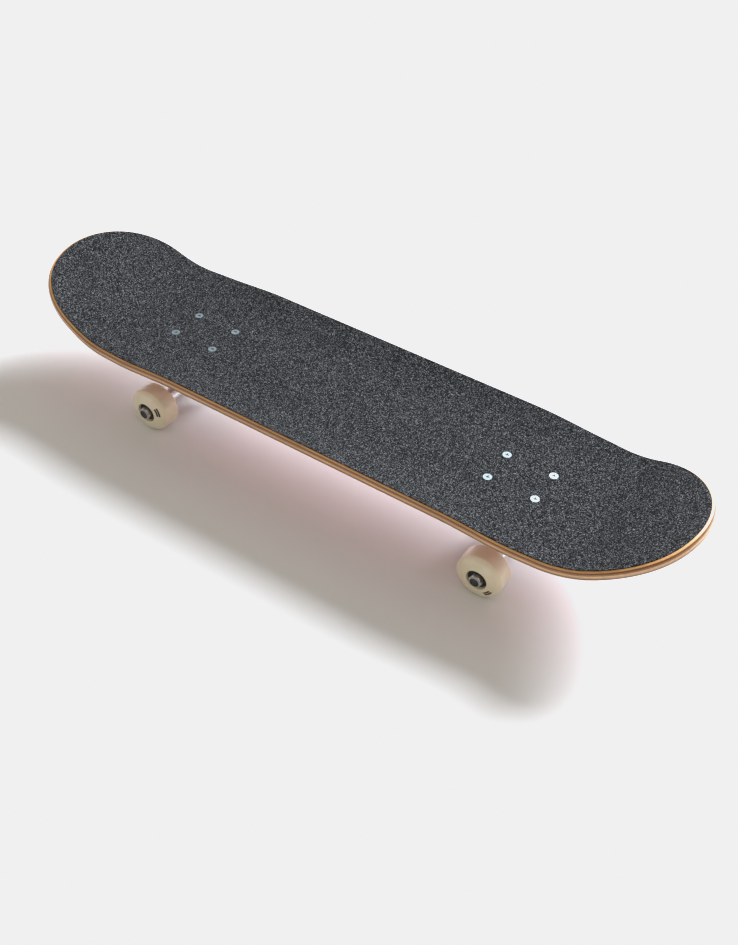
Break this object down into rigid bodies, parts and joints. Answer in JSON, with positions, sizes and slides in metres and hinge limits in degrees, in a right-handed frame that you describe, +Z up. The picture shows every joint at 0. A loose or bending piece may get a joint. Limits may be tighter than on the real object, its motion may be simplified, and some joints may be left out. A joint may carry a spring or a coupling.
{
  "type": "skateboard",
  "caption": "Popsicle street skateboard: pressed maple deck with griptape, cast trucks that steer on urethane bushings, and urethane wheels turning on ball bearings.",
  "frame": {"origin": "on the ground, midway along the deck's length and width", "axes": "+X towards the nose (the longer kick), +Y to the rider's left when facing the nose, +Z up"},
  "size_m": [0.8052, 0.205, 0.1351],
  "materials": {
    "griptape": "coarse matte grit",
    "maple_bottom": "pink-red stain under satin lacquer",
    "maple_natural": "natural, satin lacquer on the edge",
    "maple_stained": "dark stained veneer",
    "maple_orange": "orange-brown stained veneer",
    "cast_aluminium": "polished casting",
    "zinc_steel": "zinc plated",
    "dark_steel": "black oxide",
    "bearing_steel": "ground and polished",
    "boardside_urethane": "maroon, satin",
    "roadside_urethane": "maroon, satin",
    "pivot_urethane": "black, satin",
    "wheel_urethane": "ivory, satin, slightly translucent",
    "seal": "black, satin",
    "nylon": "black nylon",
    "cage_nylon": "natural nylon"
  },
  "bodies": {
    "deck": {"griptape": "griptape", "deck_ply_1": "maple_bottom", "deck_ply_2": "maple_stained", "deck_ply_3": "maple_natural", "deck_ply_4": "maple_natural", "deck_ply_5": "maple_orange", "deck_ply_6": "maple_orange", "deck_ply_7": "maple_orange", "front_baseplate": "cast_aluminium", "front_pivot_cup": "pivot_urethane", "front_kingpin": "dark_steel", "front_kingpin_nut": "zinc_steel", "front_boardside_bushing": "boardside_urethane", "front_roadside_bushing": "roadside_urethane", "front_bushing_washers": "zinc_steel", "front_mounting_bolts": "zinc_steel", "front_mounting_nuts": "zinc_steel", "rear_baseplate": "cast_aluminium", "rear_pivot_cup": "pivot_urethane", "rear_kingpin": "dark_steel", "rear_kingpin_nut": "zinc_steel", "rear_boardside_bushing": "boardside_urethane", "rear_roadside_bushing": "roadside_urethane", "rear_bushing_washers": "zinc_steel", "rear_mounting_bolts": "zinc_steel", "rear_mounting_nuts": "zinc_steel"},
    "front_hanger": {"front_hanger": "cast_aluminium", "front_axle": "zinc_steel", "front_axle_nuts": "zinc_steel", "front_axle_nut_inserts": "nylon", "front_speed_washers": "zinc_steel", "front_bearing_spacers": "zinc_steel", "front_bearing_inner_races": "bearing_steel"},
    "front_left_wheel": {"front_left_wheel": "wheel_urethane", "front_left_bearing_outer_races": "bearing_steel", "front_left_bearing_shields": "seal"},
    "front_left_balls": {"front_left_bearing_balls": "bearing_steel", "front_left_bearing_cages": "cage_nylon"},
    "front_right_wheel": {"front_right_wheel": "wheel_urethane", "front_right_bearing_outer_races": "bearing_steel", "front_right_bearing_shields": "seal"},
    "front_right_balls": {"front_right_bearing_balls": "bearing_steel", "front_right_bearing_cages": "cage_nylon"},
    "rear_hanger": {"rear_hanger": "cast_aluminium", "rear_axle": "zinc_steel", "rear_axle_nuts": "zinc_steel", "rear_axle_nut_inserts": "nylon", "rear_speed_washers": "zinc_steel", "rear_bearing_spacers": "zinc_steel", "rear_bearing_inner_races": "bearing_steel"},
    "rear_left_wheel": {"rear_left_wheel": "wheel_urethane", "rear_left_bearing_outer_races": "bearing_steel", "rear_left_bearing_shields": "seal"},
    "rear_left_balls": {"rear_left_bearing_balls": "bearing_steel", "rear_left_bearing_cages": "cage_nylon"},
    "rear_right_wheel": {"rear_right_wheel": "wheel_urethane", "rear_right_bearing_outer_races": "bearing_steel", "rear_right_bearing_shields": "seal"},
    "rear_right_balls": {"rear_right_bearing_balls": "bearing_steel", "rear_right_bearing_cages": "cage_nylon"}
  },
  "joints": [
    {"name": "front_steering", "type": "hinge", "parent": "deck", "child": "front_hanger", "pos_m": [0.1875, 0, 0.041], "axis": [0.891, 0, 0.454], "range_deg": [-14, 14], "stiffness_Nm_per_rad": 70, "deforming": ["front_boardside_bushing", "front_roadside_bushing"]},
    {"name": "front_left_wheel_spin", "type": "hinge", "parent": "front_hanger", "child": "front_left_wheel", "pos_m": [0.2125, 0.082, 0.026], "axis": [0, 1, 0], "continuous": true},
    {"name": "front_left_balls_spin", "type": "hinge", "parent": "front_hanger", "child": "front_left_balls", "pos_m": [0.2125, 0.082, 0.026], "axis": [0, 1, 0], "continuous": true},
    {"name": "front_right_wheel_spin", "type": "hinge", "parent": "front_hanger", "child": "front_right_wheel", "pos_m": [0.2125, -0.082, 0.026], "axis": [0, 1, 0], "continuous": true},
    {"name": "front_right_balls_spin", "type": "hinge", "parent": "front_hanger", "child": "front_right_balls", "pos_m": [0.2125, -0.082, 0.026], "axis": [0, 1, 0], "continuous": true},
    {"name": "rear_steering", "type": "hinge", "parent": "deck", "child": "rear_hanger", "pos_m": [-0.1965, 0, 0.041], "axis": [-0.891, 0, 0.454], "range_deg": [-14, 14], "stiffness_Nm_per_rad": 70, "deforming": ["rear_boardside_bushing", "rear_roadside_bushing"]},
    {"name": "rear_left_wheel_spin", "type": "hinge", "parent": "rear_hanger", "child": "rear_left_wheel", "pos_m": [-0.2215, 0.082, 0.026], "axis": [0, 1, 0], "continuous": true},
    {"name": "rear_left_balls_spin", "type": "hinge", "parent": "rear_hanger", "child": "rear_left_balls", "pos_m": [-0.2215, 0.082, 0.026], "axis": [0, 1, 0], "continuous": true},
    {"name": "rear_right_wheel_spin", "type": "hinge", "parent": "rear_hanger", "child": "rear_right_wheel", "pos_m": [-0.2215, -0.082, 0.026], "axis": [0, 1, 0], "continuous": true},
    {"name": "rear_right_balls_spin", "type": "hinge", "parent": "rear_hanger", "child": "rear_right_balls", "pos_m": [-0.2215, -0.082, 0.026], "axis": [0, 1, 0], "continuous": true}
  ],
  "couplings": [
    {"joint": "front_left_balls_spin", "follows": "front_left_wheel_spin", "ratio": 0.6294},
    {"joint": "front_right_balls_spin", "follows": "front_right_wheel_spin", "ratio": 0.6294},
    {"joint": "rear_left_balls_spin", "follows": "rear_left_wheel_spin", "ratio": 0.6294},
    {"joint": "rear_right_balls_spin", "follows": "rear_right_wheel_spin", "ratio": 0.6294}
  ]
}
